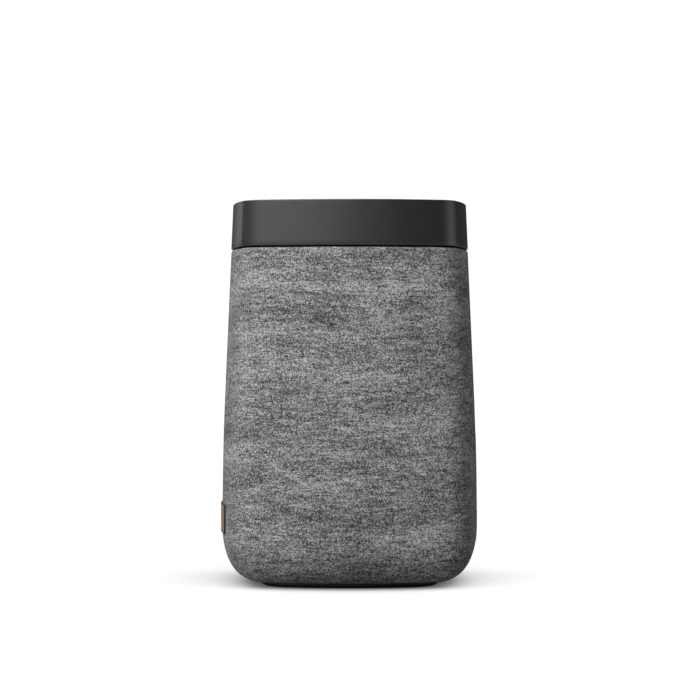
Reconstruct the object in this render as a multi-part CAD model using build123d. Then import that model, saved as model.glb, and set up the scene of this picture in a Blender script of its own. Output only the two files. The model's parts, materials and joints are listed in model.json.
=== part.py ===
from build123d import *
import os
from math import atan2, cos, radians, sin, sqrt

# A table-top smart speaker wrapped in woven fabric. Millimetres, +Z up, origin at the centre of
# the foot's underside. The front, which carries the woofer and the leather label, faces -Y.

# ---------------------------------------------------------------- outer form
WIDEST = 65.4            # half-width at the widest level
SIDE_BOW = 152.5         # radius of each bowed side at the widest level
CORNER = 19.6            # radius of each upright corner at the widest level
TOTAL_HEIGHT = 193.0

TAPER = 0.044            # how fast the half-width shrinks with height above TAPER_FROM
TAPER_FROM = 100.0
UPRIGHT_AT = 32.0        # level where the sides stand exactly upright
HEEL_TOP = 27.5          # the rounded heel under the sides starts here
HEEL_DROP = 24.5         # upright half-axis of the heel's quarter ellipse
HEEL_INSET = 13.0        # level half-axis of the heel's quarter ellipse

FABRIC = 0.9             # thickness of the woven fabric with its backing
GRILLE = 2.4             # wall of the slotted shell under the fabric
FABRIC_TOP = 169.4       # the fabric turns in under the cap here
HEM = 3.0                # width of the fabric turned in at the top
LOWER_HEM = 1.2          # width of the fabric's lower hem that the base presses on
SEAM = 0.8               # shadow gap between fabric and cap

LABEL_LENGTH = 60.0      # the leather label, centred low on the front
LABEL_HEIGHT = 14.8
LABEL_CORNER = 2.4
LABEL_THICK = 0.8
LABEL_Z = 33.2
LABEL_LAND = 3.4         # solid shell left above the label, which is glued down over it

SLOT_WIDTH = 5.0         # sound slots through the shell under the fabric
SLOT_PITCH = 10.0
SLOT_COLUMNS = 9
LOW_SLOTS = (31.0, 88.0)     # lower and upper row: bottom and top of each
HIGH_SLOTS = (97.0, 155.0)

# ---------------------------------------------------------------- cap and controls
CAP_BOTTOM = FABRIC_TOP + SEAM
CAP_PROUD = 0.1          # the cap stands this far outside the fabric's line
CAP_WALL = 2.2
CAP_EDGE = 2.0           # rounding of the cap's top edge
CAP_FLOOR_TOP = CAP_BOTTOM + 2.2
PANEL_HALF = 54.5        # half-width of the opening that the top panel sits in
PANEL_LEDGE = 3.5        # width of the ledge under the panel's edge
PANEL_TOP = TOTAL_HEIGHT - 1.4
PANEL_THICK = 2.0
PANEL_UNDER = PANEL_TOP - PANEL_THICK
FIT_GAP = 0.2            # gap round a panel that is set into another part

BUTTON_PROUD = 0.6       # height of a button above the panel, and its travel
BUTTON_GAP = 0.25        # clearance round a button in its hole
BUTTON_LIP = 1.0         # lip under the panel that keeps the button in
LIP_THICK = 1.1
LIP_CLEARANCE = 0.1
PLAY_RADIUS = 12.0
ARC_INNER = 15.0
ARC_OUTER = 25.0
ARC_SPAN = 66.0          # degrees that each arc-shaped button covers
ARC_BUTTONS = {"volume_up_button": 0, "assistant_button": 90,
               "volume_down_button": 180, "source_button": 270}
ARC_CORNER = 1.6         # rounding of the arc-shaped buttons' corners
BUTTON_CHAMFER = 0.35
STEM_RADIUS = 2.4
STEM_BOTTOM = 187.0

BOARD_THICK = 1.6
CONTROL_BOARD_TOP = 182.0
CONTROL_BOARD_HALF = 42.0
CONTROL_SCREW = 36.0     # screws of the control board, on both axes
MICROPHONE_AT = 30.0     # microphones, on both axes
MICROPHONE_HEIGHT = 1.1
SOUND_HOLE = 0.7         # radius of a microphone's sound hole
LIGHT_Y = -36.0          # row of status lights behind the front edge
LIGHT_LENGTH = 14.0
LIGHT_WIDTH = 1.8
LENS_FLANGE = 1.2        # thickness of the lens's flange under the panel
LED_SIZE = 1.6
LED_HEIGHT = 0.9
LED_AT = (-4.5, 0.0, 4.5)
SEAL_RADIUS = 2.6
MAT_RADIUS = 27.0        # the silicone keypad
MAT_THICK = 0.8
BOSS_RADIUS = 3.2        # bosses in the cap that carry the control board

# ---------------------------------------------------------------- foot and base
FOOT_HALF = 46.4
FOOT_CORNER = 19.0
FOOT_THICK = 1.6
BASE_HALF = 47.2
BASE_CORNER = 20.0
BASE_TOP = 3.0           # the base's rim presses the fabric's lower hem up here
PLUG_HALF = 44.0         # part of the base that stands up inside the shell
BASE_SCREW = 30.0        # screws of the base, on both axes

# ---------------------------------------------------------------- enclosure
CABINET_INSET = 6.0      # gap from the outer form to the sealed cabinet
CABINET_WALL = 3.0
CABINET_TOP = FABRIC_TOP + 0.2
BAFFLE_FRONT = -49.0
BAFFLE_THICK = 5.0
GASKET_THICK = 0.8
BAFFLE_SCREWS = [(42.0, 22.0), (44.0, 104.0), (36.0, 158.0)]   # x each side, z
CAP_SCREW_X = 46.0
CAP_SCREW_Y = 14.0
CASE_BOSS = 4.0          # radius of the bosses for the cap's and the base's screws
CAP_BOSS_DEPTH = 13.0
BASE_BOSS_HEIGHT = 8.0
BAFFLE_BOSS = 3.5
BAFFLE_BOSS_DEPTH = 9.0
POST = 3.0               # radius of the boards' posts
POST_DEPTH = 18.0

# ---------------------------------------------------------------- drivers
WOOFER_Z = 60.0
WOOFER_FLANGE = 43.0
WOOFER_EAR_AT = 45.0     # ears for the screws, on the diagonals
WOOFER_EAR = 5.0         # radius of an ear
WOOFER_HOLE = 37.3       # opening for the basket in the baffle
CONE_RIM = 31.0
COIL_RADIUS = 10.5       # inner radius of the cone and radius of the dust cap
MAGNET_RADIUS = 27.0
PLATE_RADIUS = 26.0
PLATE_FRONT = -21.5      # depths behind the baffle's face, front to back
PLATE_BACK = -24.5
MAGNET_BACK = -36.5
YOKE_BACK = -40.5
TWEETER_Z = 130.0
TWEETER_PLATE = 24.0
TWEETER_SCREW_AT = 20.2
TWEETER_HOLE = 17.3
TWEETER_FACE = 2.4       # thickness of the faceplate
TWEETER_DOME = 12.4
RADIATOR_Z = 62.0
RADIATOR_Y = 3.0
RADIATOR_SEAT = 52.0     # distance of the radiators' mounting faces from the centre
RADIATOR_RIM = 42.0
RADIATOR_SCREW_AT = 38.5
RADIATOR_HOLE = 33.0     # opening in the cabinet's side
RADIATOR_SEAT_THICK = 4.0
RADIATOR_FRAME = 2.5     # thickness of the frame
FLANGE_THICK = 3.0       # thickness of the woofer's flange

# ---------------------------------------------------------------- rear panel
PORT_WIDTH = 15.0        # the upright strip at the back with socket, button and slider
PORT_HEIGHT = 56.0
PORT_CORNER = 4.0
PORT_Z = 48.0
PORT_PROUD = 0.15
PORT_BACK = 62.4         # y of the strip's flat inner face
SEAT_MARGIN = 1.0        # the cabinet's seat is this much wider than the strip
SEAT_DEPTH = 6.4
SEAT_HALF_X = 6.0        # opening in the seat
SEAT_LOW = 25.6
SEAT_HIGH = 69.6
INLET_WIDTH = 11.6
INLET_HEIGHT = 20.0
INLET_Z = 36.0
INLET_FRONT = 64.9
INLET_BACK = INLET_FRONT - 16.0
SOCKET_DEPTH = 11.5
SOCKET_LOBE = 3.8        # radius of each lobe of the figure-of-eight socket
SOCKET_WAIST = 5.4
PIN_RADIUS = 1.2
PIN_SPACING = 8.6
PAIRING_Z = 53.0
PAIRING_RADIUS = 2.5
PAIRING_FRONT = 65.2     # just below the strip's face
PAIRING_LIP = 1.0
SLIDER_Z = 64.0
SLIDER_TRAVEL = 3.0
SLIDER_LENGTH = 4.6
SLIDER_WIDTH = 2.8
SLIDER_GAP = 0.1
POCKET_FLOOR = 63.6      # y of the floor of the slider's pocket
IO_BOARD_BACK = 53.4
IO_BOARD_THICK = 1.2
IO_SWITCH_FRONT = 60.0

# ---------------------------------------------------------------- boards
MAIN_BOARD_Y = 40.0
MAIN_BOARD_HALF = 42.0
MAIN_BOARD_LOW = 52.0
MAIN_BOARD_HIGH = 148.0
POWER_BOARD_BOTTOM = 20.0
CABLE_Y = 38.0
CABLE_HALF = 6.0         # half-width of the flat cable
CONNECTOR_HALF = 7.5     # half-width of the connectors at its ends
CONNECTOR_HEIGHT = 2.4
HEATSINK_LOW = 82.0
HEATSINK_HIGH = 110.0
HEATSINK_HALF = 16.0
HEATSINK_BASE = 3.0
HEATSINK_DEPTH = 12.0
FIN_PITCH = 5

# ---------------------------------------------------------------- screws: seat to tip
CASE_SCREW = dict(head=2.8, head_height=2.0, shank=1.5, length=11.0)
DRIVER_SCREW = dict(head=2.6, head_height=1.6, shank=1.3, length=6.5)
BOARD_SCREW = dict(head=2.2, head_height=1.4, shank=1.1, length=6.0)
PANEL_SCREW = dict(head=1.8, head_height=1.0, shank=0.9, length=5.0)
LOOSE = 0.3              # extra radius of a hole that a screw passes through
SEE_THROUGH = 200.0      # longer than anything that is cut with it


# ================================================================ shared shapes
def block(x, y, z):
    """A box from three (low, high) pairs."""
    size = [high - low for low, high in (x, y, z)]
    middle = [(high + low) / 2 for low, high in (x, y, z)]
    return Pos(*middle) * Box(*size)


def disc(radius, low, high, inner=0.0):
    """An upright cylinder, or a ring where it has an inner radius."""
    sketch = Circle(radius)
    if inner:
        sketch -= Circle(inner)
    return Pos(0, 0, low) * extrude(sketch, high - low)


def turned(*points):
    """A solid of revolution about Z from (radius, height) points."""
    return revolve(Plane.XZ * make_face(Polyline(*points, close=True)), Axis.Z)


def dome(radius, rise, wall):
    """A thin dome whose rim stands on z = 0."""
    ball = (radius**2 + rise**2) / (2 * rise)
    centre = Pos(0, 0, rise - ball)
    shell = centre * Sphere(ball) - centre * Sphere(ball - wall)
    return shell & disc(radius, 0, rise)


def screw(head, head_height, shank, length):
    """A pan-head screw whose seat is at z = 0 and whose tip points down."""
    recess = Pos(0, 0, head_height * 0.4) * extrude(RegularPolygon(head * 0.45, 6), head_height)
    return disc(head, 0, head_height) + disc(shank, -length, 0) - recess


def corners(half_x, half_y=None):
    """The four corner places of a rectangle."""
    half_y = half_x if half_y is None else half_y
    return [(sx * half_x, sy * half_y) for sx in (-1, 1) for sy in (-1, 1)]


def group(pieces):
    """Separate solids that share one node."""
    return Compound([solid for piece in pieces for solid in piece.solids()])


def front_frame(z, depth=0.0):
    """A place on the baffle's front, looking out along -Y."""
    return Plane(origin=(0, BAFFLE_FRONT - depth, z), x_dir=(1, 0, 0), z_dir=(0, -1, 0)).location


def side_frame(side):
    """A radiator's seat: side is +1 for the right (+X) and -1 for the left."""
    return Plane(origin=(side * RADIATOR_SEAT, RADIATOR_Y, RADIATOR_Z),
                 x_dir=(0, side, 0), z_dir=(side, 0, 0)).location


# ================================================================ outer form
def outline(half_width, z, corner=None):
    """A level outline of four bowed sides joined by four round corners."""
    side_centre = SIDE_BOW - WIDEST
    if corner is None:
        corner = CORNER + half_width - WIDEST
    bow = side_centre + half_width
    reach = bow - corner
    corner_at = (sqrt(2 * reach**2 - side_centre**2) - side_centre) / 2
    turn = atan2(corner_at, corner_at + side_centre)
    meet_x = bow * sin(turn)
    meet_y = bow * cos(turn) - side_centre
    tip = corner_at + corner * cos(radians(45))
    side = Edge.make_three_point_arc((-meet_x, -meet_y, z), (0, -half_width, z), (meet_x, -meet_y, z))
    bend = Edge.make_three_point_arc((meet_x, -meet_y, z), (tip, -tip, z), (meet_y, -meet_x, z))
    return Wire([edge.rotate(Axis.Z, quarter) for quarter in (0, 90, 180, 270) for edge in (side, bend)])


def half_width_at(z):
    """Half-width of the outer form above its heel."""
    if z >= TAPER_FROM:
        return wide_at_taper - TAPER * (z - TAPER_FROM)
    if z <= UPRIGHT_AT:
        return WIDEST
    return WIDEST - TAPER * (z - UPRIGHT_AT) ** 2 / (2 * (TAPER_FROM - UPRIGHT_AT))


def form(inset, top):
    """The outer form drawn in by inset all over, from its underside to a level top."""
    sections = []
    for angle in (90, 80, 70, 58, 46, 34, 22, 11, 0):
        z = HEEL_TOP - (HEEL_DROP - inset) * sin(radians(angle))
        half = WIDEST - HEEL_INSET + (HEEL_INSET - inset) * cos(radians(angle))
        sections.append(outline(half, z))
    steps = 11
    for step in range(1, steps + 1):
        z = HEEL_TOP + (top - HEEL_TOP) * step / steps
        sections.append(outline(half_width_at(z) - inset, z))
    return Solid.make_loft(sections)


def slab(half_width, low, high, corner=None):
    """An upright prism on a level outline."""
    return extrude(Face(outline(half_width, low, corner)), high - low, dir=(0, 0, 1))


def port_prism(margin, y_low, y_high):
    """The rear strip's outline grown by some margin, as a prism along Y."""
    sketch = RectangleRounded(PORT_WIDTH + 2 * margin, PORT_HEIGHT + 2 * margin, PORT_CORNER + margin)
    place = Plane(origin=(0, y_low, PORT_Z), x_dir=(-1, 0, 0), z_dir=(0, 1, 0)).location
    return place * extrude(sketch, y_high - y_low)


wide_at_taper = WIDEST - TAPER * (TAPER_FROM - UPRIGHT_AT) / 2
FAR = 2 * WIDEST         # beyond every wall


# ================================================================ skin
def make_fabric_sleeve():
    sleeve = form(0, FABRIC_TOP) - form(FABRIC, FABRIC_TOP - FABRIC)
    sleeve -= slab(BASE_HALF - LOWER_HEM, 0, HEEL_TOP, BASE_CORNER - LOWER_HEM)
    top_opening = half_width_at(FABRIC_TOP) - FABRIC - HEM
    sleeve -= slab(top_opening, HEEL_TOP, FAR + FABRIC_TOP)
    return sleeve - port_prism(FIT_GAP / 2, 0, FAR)


def make_grille_shell():
    shell = form(FABRIC, FABRIC_TOP - FABRIC) - form(FABRIC + GRILLE, FABRIC_TOP + GRILLE)
    shell -= slab(PLUG_HALF + 0.5, 0, HEEL_TOP, FOOT_CORNER)
    above_label = (LABEL_Z + LABEL_HEIGHT / 2 + LABEL_LAND, LOW_SLOTS[1])
    both = [LOW_SLOTS, HIGH_SLOTS]
    slots = []
    for quarter, rows in enumerate([[above_label, HIGH_SLOTS], both, [HIGH_SLOTS], both]):
        for column in range(SLOT_COLUMNS):
            for row in rows:
                middle = (column - (SLOT_COLUMNS - 1) / 2) * SLOT_PITCH
                span = (middle - SLOT_WIDTH / 2, middle + SLOT_WIDTH / 2)
                slots.append(Rot(0, 0, 90 * quarter) * block(span, (-FAR, -WIDEST / 2), row))
    shell -= slots
    return shell - port_prism(SEAT_MARGIN + FIT_GAP, 0, FAR)


def make_leather_label():
    place = Plane(origin=(0, 0, LABEL_Z), x_dir=(1, 0, 0), z_dir=(0, -1, 0)).location
    patch = place * extrude(RectangleRounded(LABEL_LENGTH, LABEL_HEIGHT, LABEL_CORNER), FAR)
    return patch & (form(-LABEL_THICK, FABRIC_TOP) - form(0, FABRIC_TOP))


# ================================================================ cap and controls
def make_cap_shell():
    outer = form(-CAP_PROUD, TOTAL_HEIGHT) - block((-FAR, FAR), (-FAR, FAR), (-1, CAP_BOTTOM))
    outer = fillet(outer.edges().group_by(Axis.Z)[-1], CAP_EDGE)
    lower_half = half_width_at(CAP_BOTTOM) - CAP_WALL - CAP_EDGE / 2
    ledge_under = PANEL_UNDER - PANEL_THICK
    outer -= slab(lower_half, CAP_FLOOR_TOP, ledge_under)
    outer -= slab(PANEL_HALF - PANEL_LEDGE, ledge_under, PANEL_UNDER)
    outer -= slab(PANEL_HALF, PANEL_UNDER, TOTAL_HEIGHT + 1)
    board_under = CONTROL_BOARD_TOP - BOARD_THICK
    for x, y in corners(CONTROL_SCREW):
        outer += Pos(x, y, 0) * disc(BOSS_RADIUS, CAP_FLOOR_TOP, board_under)
        outer -= Pos(x, y, 0) * disc(BOARD_SCREW["shank"], CAP_FLOOR_TOP, board_under)
    for x, y in corners(CAP_SCREW_X, CAP_SCREW_Y):
        outer -= Pos(x, y, 0) * disc(CASE_SCREW["shank"] + LOOSE, CAP_BOTTOM, CAP_FLOOR_TOP)
    return outer - cable_slot(CAP_BOTTOM, CAP_FLOOR_TOP)


def cable_slot(low, high):
    """The hole that the flat cable passes through."""
    return block((-8, 8), (CABLE_Y - 1.5, CABLE_Y + 1.8), (low, high))


def arc_sketch(margin):
    """An arc-shaped button's outline, centred on +X and grown by some margin."""
    ring = Circle(ARC_OUTER + margin) - Circle(ARC_INNER - margin)
    slope = radians(ARC_SPAN / 2)
    shift = margin / sin(slope)
    reach = 2 * ARC_OUTER
    wedge = make_face(Polyline((-shift, 0), (reach * cos(slope) - shift, reach * sin(slope)),
                               (reach * cos(slope) - shift, -reach * sin(slope)), close=True))
    sector = ring & wedge
    return fillet(sector.vertices(), ARC_CORNER + margin)


def button(sketch_at, stem_x):
    """A button from its outline at a margin, with a lip under the panel and a stem below."""
    lip_top = PANEL_UNDER - LIP_CLEARANCE
    lip_low = lip_top - LIP_THICK
    head = Pos(0, 0, lip_top) * extrude(sketch_at(0), PANEL_TOP + BUTTON_PROUD - lip_top)
    head = chamfer(head.edges().group_by(Axis.Z)[-1], BUTTON_CHAMFER)
    lip = Pos(0, 0, lip_low) * extrude(sketch_at(BUTTON_LIP), LIP_THICK)
    return head + lip + Pos(stem_x, 0, 0) * disc(STEM_RADIUS, STEM_BOTTOM, lip_low)


def play_sketch(margin):
    return Circle(PLAY_RADIUS + margin)


def arc_middle():
    """Radius of the middle of the arc-shaped buttons."""
    return (ARC_INNER + ARC_OUTER) / 2


def make_top_panel():
    panel = slab(PANEL_HALF - FIT_GAP, PANEL_UNDER, PANEL_TOP)
    through = Pos(0, 0, PANEL_UNDER - 1)
    panel -= through * extrude(play_sketch(BUTTON_GAP), SEE_THROUGH)
    for turn in ARC_BUTTONS.values():
        panel -= Rot(0, 0, turn) * through * extrude(arc_sketch(BUTTON_GAP), SEE_THROUGH)
    for x, y in corners(MICROPHONE_AT):
        panel -= Pos(x, y, 0) * disc(SOUND_HOLE, PANEL_UNDER, PANEL_TOP)
    return panel - Pos(0, LIGHT_Y, 0) * through * extrude(SlotOverall(LIGHT_LENGTH, LIGHT_WIDTH), SEE_THROUGH)


def make_status_light_lens():
    lens = Pos(0, LIGHT_Y, PANEL_UNDER) * extrude(SlotOverall(LIGHT_LENGTH, LIGHT_WIDTH), PANEL_THICK)
    flange = extrude(SlotOverall(LIGHT_LENGTH + 3, LIGHT_WIDTH + 2.2), LENS_FLANGE)
    return lens + Pos(0, LIGHT_Y, PANEL_UNDER - LENS_FLANGE) * flange


def make_status_leds():
    half = LED_SIZE / 2
    return group([block((x - half, x + half), (LIGHT_Y - half, LIGHT_Y + half),
                        (CONTROL_BOARD_TOP, CONTROL_BOARD_TOP + LED_HEIGHT)) for x in LED_AT])


def make_control_board():
    under = CONTROL_BOARD_TOP - BOARD_THICK
    board = Pos(0, 0, under) * extrude(RectangleRounded(2 * CONTROL_BOARD_HALF, 2 * CONTROL_BOARD_HALF, 8),
                                       BOARD_THICK)
    for x, y in corners(CONTROL_SCREW):
        board -= Pos(x, y, 0) * disc(BOARD_SCREW["shank"] + LOOSE, under, CONTROL_BOARD_TOP)
    connector = block((-CONNECTOR_HALF, CONNECTOR_HALF), (CABLE_Y - 2, CABLE_Y + 2),
                      (under - CONNECTOR_HEIGHT, under))
    return board + connector


def make_button_mat():
    """A silicone keypad: a sheet on the board with one hollow dome under each button."""
    sheet_top = CONTROL_BOARD_TOP + MAT_THICK
    key_top = STEM_BOTTOM - 0.05
    places = [(0, 0)] + [(arc_middle() * cos(radians(turn)), arc_middle() * sin(radians(turn)))
                         for turn in ARC_BUTTONS.values()]
    mat = disc(MAT_RADIUS, CONTROL_BOARD_TOP, sheet_top)
    key = turned((0, key_top - 1.6), (2.4, key_top - 1.6), (4.2, sheet_top - 0.3), (5.0, sheet_top - 0.3),
                 (3.0, key_top), (0, key_top))
    for x, y in places:
        mat = mat - Pos(x, y, 0) * disc(4.2, CONTROL_BOARD_TOP, sheet_top) + Pos(x, y, 0) * key
    return mat


def make_microphones():
    height = (CONTROL_BOARD_TOP, CONTROL_BOARD_TOP + MICROPHONE_HEIGHT)
    return group([block((x - 1.9, x + 1.9), (y - 1.5, y + 1.5), height) for x, y in corners(MICROPHONE_AT)])


def make_microphone_seals():
    low = CONTROL_BOARD_TOP + MICROPHONE_HEIGHT
    return group([Pos(x, y, 0) * disc(SEAL_RADIUS, low, PANEL_UNDER, SOUND_HOLE)
                  for x, y in corners(MICROPHONE_AT)])


# ================================================================ foot and base
def make_foot_pad():
    pad = slab(FOOT_HALF, 0, FOOT_THICK, FOOT_CORNER)
    return fillet(pad.edges().group_by(Axis.Z)[0], 0.9)


def make_base_plate():
    plug_top = HEEL_TOP - HEEL_DROP + CABINET_INSET
    floor = BASE_TOP + 1.4
    plate = slab(BASE_HALF, FOOT_THICK, BASE_TOP, BASE_CORNER)
    plate += slab(PLUG_HALF, BASE_TOP, plug_top, FOOT_CORNER)
    plate -= slab(PLUG_HALF - 3, floor, plug_top, FOOT_CORNER - 3)
    for x, y in corners(BASE_SCREW):
        plate += Pos(x, y, 0) * disc(5.5, floor, plug_top)
        plate -= Pos(x, y, 0) * disc(CASE_SCREW["head"] + LOOSE, FOOT_THICK, BASE_TOP + 1.0)
        plate -= Pos(x, y, 0) * disc(CASE_SCREW["shank"] + LOOSE, FOOT_THICK, plug_top)
    return plate


# ================================================================ enclosure
def driver_holes():
    """Openings and screw holes that the drivers need in the baffle."""
    cuts = [front_frame(WOOFER_Z) * disc(WOOFER_HOLE, -SEE_THROUGH / 2, 1),
            front_frame(TWEETER_Z) * disc(TWEETER_HOLE, -SEE_THROUGH / 2, 1)]
    for place in woofer_screw_places() + tweeter_screw_places():
        cuts.append(place * disc(DRIVER_SCREW["shank"], -SEE_THROUGH / 2, 1))
    return cuts


def woofer_screw_places():
    """Seats of the woofer's screws on the baffle's face."""
    return [front_frame(WOOFER_Z) * Rot(0, 0, 45 + 90 * n) * Pos(WOOFER_EAR_AT, 0, 0) for n in range(4)]


def tweeter_screw_places():
    """Seats of the tweeter's screws on the baffle's face."""
    return [front_frame(TWEETER_Z) * Rot(0, 0, 90 + 120 * n) * Pos(TWEETER_SCREW_AT, 0, 0) for n in range(3)]


def radiator_screw_places(side):
    """Seats of one radiator's screws on the cabinet's side."""
    return [side_frame(side) * Rot(0, 0, 45 + 90 * n) * Pos(RADIATOR_SCREW_AT, 0, 0) for n in range(4)]


def baffle_screw_places():
    """Seats of the screws that hold the baffle to the cabinet."""
    return [front_frame(z) * Pos(side * x, 0, 0) for x, z in BAFFLE_SCREWS for side in (-1, 1)]


def cabinet_slice(inset, y_low, y_high):
    """The cabinet's form, drawn in and cut to a range of Y."""
    whole = form(inset, CABINET_TOP - (inset - CABINET_INSET))
    return whole & block((-FAR, FAR), (y_low, y_high), (-1, 2 * FAR))


def make_front_baffle():
    back = BAFFLE_FRONT + BAFFLE_THICK
    baffle = cabinet_slice(CABINET_INSET, BAFFLE_FRONT, back)
    baffle -= driver_holes()
    for place in baffle_screw_places():
        baffle -= place * disc(CASE_SCREW["shank"] + LOOSE, -BAFFLE_THICK, 0)
    return baffle


def make_enclosure_gasket():
    back = BAFFLE_FRONT + BAFFLE_THICK
    front = back + GASKET_THICK
    ring = cabinet_slice(CABINET_INSET, back, front) - cabinet_slice(CABINET_INSET + 2.6, back, front)
    for place in baffle_screw_places():
        ring -= place * disc(CASE_SCREW["shank"] + 2.2, -BAFFLE_THICK - GASKET_THICK, 0)
    return ring


def make_rear_cabinet():
    front = BAFFLE_FRONT + BAFFLE_THICK + GASKET_THICK
    floor = HEEL_TOP - HEEL_DROP + CABINET_INSET
    inside = CABINET_INSET + CABINET_WALL
    tub = cabinet_slice(CABINET_INSET, front, FAR)
    tub -= form(inside, CABINET_TOP - CABINET_WALL)
    outer = form(CABINET_INSET, CABINET_TOP)
    for side in (-1, 1):
        tub += (side_frame(side) * disc(RADIATOR_RIM, -RADIATOR_SEAT_THICK, 0)) & outer
        tub -= side_frame(side) * disc(RADIATOR_RIM + 0.5, 0, FAR)
        tub -= side_frame(side) * disc(RADIATOR_HOLE, -FAR / 4, 1)
        for place in radiator_screw_places(side):
            tub -= place * disc(DRIVER_SCREW["shank"], -RADIATOR_SEAT_THICK, 1)
    tub += port_prism(SEAT_MARGIN, PORT_BACK - SEAT_DEPTH, PORT_BACK)
    tub -= block((-SEAT_HALF_X, SEAT_HALF_X), (FAR / 4, FAR), (SEAT_LOW, SEAT_HIGH))
    for z in rear_screw_heights():
        tub -= Pos(0, PORT_BACK, z) * Rot(-90, 0, 0) * disc(PANEL_SCREW["shank"], -5, 0)
    for x, y in corners(CAP_SCREW_X, CAP_SCREW_Y):
        tub += Pos(x, y, 0) * disc(CASE_BOSS, CAP_BOTTOM - CAP_BOSS_DEPTH, CAP_BOTTOM)
        tub -= Pos(x, y, 0) * disc(CASE_SCREW["shank"], CAP_BOTTOM - CASE_SCREW["length"], CAP_BOTTOM)
    for x, y in corners(BASE_SCREW):
        tub += Pos(x, y, 0) * disc(CASE_BOSS, floor, floor + BASE_BOSS_HEIGHT)
        tub -= Pos(x, y, 0) * disc(CASE_SCREW["shank"], floor, floor + BASE_BOSS_HEIGHT - 1.5)
    for x, z in BAFFLE_SCREWS:
        for side in (-1, 1):
            rib = block(sorted((side * x, side * FAR)), (front, front + BAFFLE_BOSS_DEPTH), (z - 2, z + 2))
            boss = Pos(side * x, front, z) * Rot(-90, 0, 0) * disc(BAFFLE_BOSS, 0, BAFFLE_BOSS_DEPTH)
            tub += (rib + boss) & outer
    for place in baffle_screw_places():
        tub -= place * disc(CASE_SCREW["shank"], -BAFFLE_THICK - 7, 0)
    for x, z in main_board_posts():
        tub += (Pos(x, MAIN_BOARD_Y + BOARD_THICK, z) * Rot(-90, 0, 0) * disc(POST, 0, POST_DEPTH)) & outer
        tub -= Pos(x, MAIN_BOARD_Y + BOARD_THICK, z) * Rot(-90, 0, 0) * disc(BOARD_SCREW["shank"], -1, 5)
    for x, y in power_board_posts():
        tub += Pos(x, y, 0) * disc(POST, floor + 1, POWER_BOARD_BOTTOM)
        tub -= Pos(x, y, 0) * disc(BOARD_SCREW["shank"], POWER_BOARD_BOTTOM - 5, POWER_BOARD_BOTTOM)
    return tub - cable_slot(CABINET_TOP - 2 * CABINET_WALL, CABINET_TOP + 1)


# ================================================================ woofer: heights are from the baffle
def make_woofer_basket():
    bowl = turned((34.5, 0), (34.5, 1.2), (38.5, 1.2), (38.5, FLANGE_THICK), (WOOFER_FLANGE, FLANGE_THICK),
                  (WOOFER_FLANGE, 0), (36.8, 0), (27.0, PLATE_FRONT), (12.0, PLATE_FRONT),
                  (12.0, PLATE_FRONT + 1.5), (26.0, PLATE_FRONT + 1.5))
    for n in range(4):
        bowl -= Rot(0, 0, 90 * n) * block((0, WOOFER_FLANGE), (-11, 11), (-17.0, -3.5))
    bowl += disc(28.6, -18.0, -16.0, 26.0)
    for n in range(4):
        ear = Rot(0, 0, 45 + 90 * n) * Pos(WOOFER_EAR_AT, 0, 0)
        bowl += ear * disc(WOOFER_EAR, 0, FLANGE_THICK)
        bowl -= ear * disc(DRIVER_SCREW["shank"] + LOOSE, 0, FLANGE_THICK)
    return front_frame(WOOFER_Z) * bowl


def make_woofer_magnet():
    return front_frame(WOOFER_Z) * disc(MAGNET_RADIUS, MAGNET_BACK, PLATE_BACK, 14.0)


def make_woofer_top_plate():
    return front_frame(WOOFER_Z) * disc(PLATE_RADIUS, PLATE_BACK, PLATE_FRONT, 11.4)


def make_woofer_yoke():
    pole = disc(9.7, MAGNET_BACK, PLATE_FRONT)
    return front_frame(WOOFER_Z) * (disc(PLATE_RADIUS, YOKE_BACK, MAGNET_BACK) + pole)


def make_woofer_voice_coil():
    former = disc(COIL_RADIUS, -31.0, -11.5, 10.2)
    winding = disc(10.9, -27.0, -19.0, 10.4)
    return front_frame(WOOFER_Z) * (former + winding)


def make_woofer_cone():
    return front_frame(WOOFER_Z) * turned((COIL_RADIUS, -13.0), (29.0, 0.5), (CONE_RIM, 0.5), (CONE_RIM, 1.2),
                                          (28.8, 1.2), (COIL_RADIUS, -12.2))


def make_woofer_dust_cap():
    return front_frame(WOOFER_Z, -11.5) * dome(COIL_RADIUS, 4.0, 0.5)


def make_woofer_surround():
    return front_frame(WOOFER_Z) * roll_surround(29.2, CONE_RIM, 36.0, 38.4, 1.2)


def make_woofer_spider():
    return front_frame(WOOFER_Z) * disc(27.4, -16.0, -15.4, 10.95)


def roll_surround(inner, roll_inner, roll_outer, outer, seat):
    """A half-roll rubber ring with a flat bonding edge on each side, 0.5 mm thick."""
    thick = 0.5
    middle = (roll_inner + roll_outer) / 2
    roll = (roll_outer - roll_inner) / 2
    tube = Circle(roll) - Circle(roll - thick)
    upper = tube & Pos(0, roll) * Rectangle(4 * roll, 2 * roll)
    ring = revolve(Plane.XZ * Pos(middle, seat) * upper, Axis.Z)
    ring += disc(roll_inner + thick / 2, seat, seat + thick, inner)
    return ring + disc(outer, seat, seat + thick, roll_outer - thick / 2)


# ================================================================ tweeter: heights are from the baffle
def make_tweeter_faceplate():
    plate = turned((13.4, 0), (16.0, TWEETER_FACE), (TWEETER_PLATE, TWEETER_FACE), (TWEETER_PLATE, 0))
    hole = disc(DRIVER_SCREW["shank"] + LOOSE, 0, TWEETER_FACE)
    for n in range(3):
        plate -= Rot(0, 0, 90 + 120 * n) * Pos(TWEETER_SCREW_AT, 0, 0) * hole
    return front_frame(TWEETER_Z) * plate


def make_tweeter_motor():
    return front_frame(TWEETER_Z) * turned((0, -12), (17, -12), (17, 0), (14, 0), (14, -9), (11.4, -9),
                                           (11.4, -1.5), (0, -1.5))


def make_tweeter_dome():
    return front_frame(TWEETER_Z) * (dome(TWEETER_DOME, 4.6, 0.3) + disc(TWEETER_DOME, -5, 0.1, 12.0))


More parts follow.
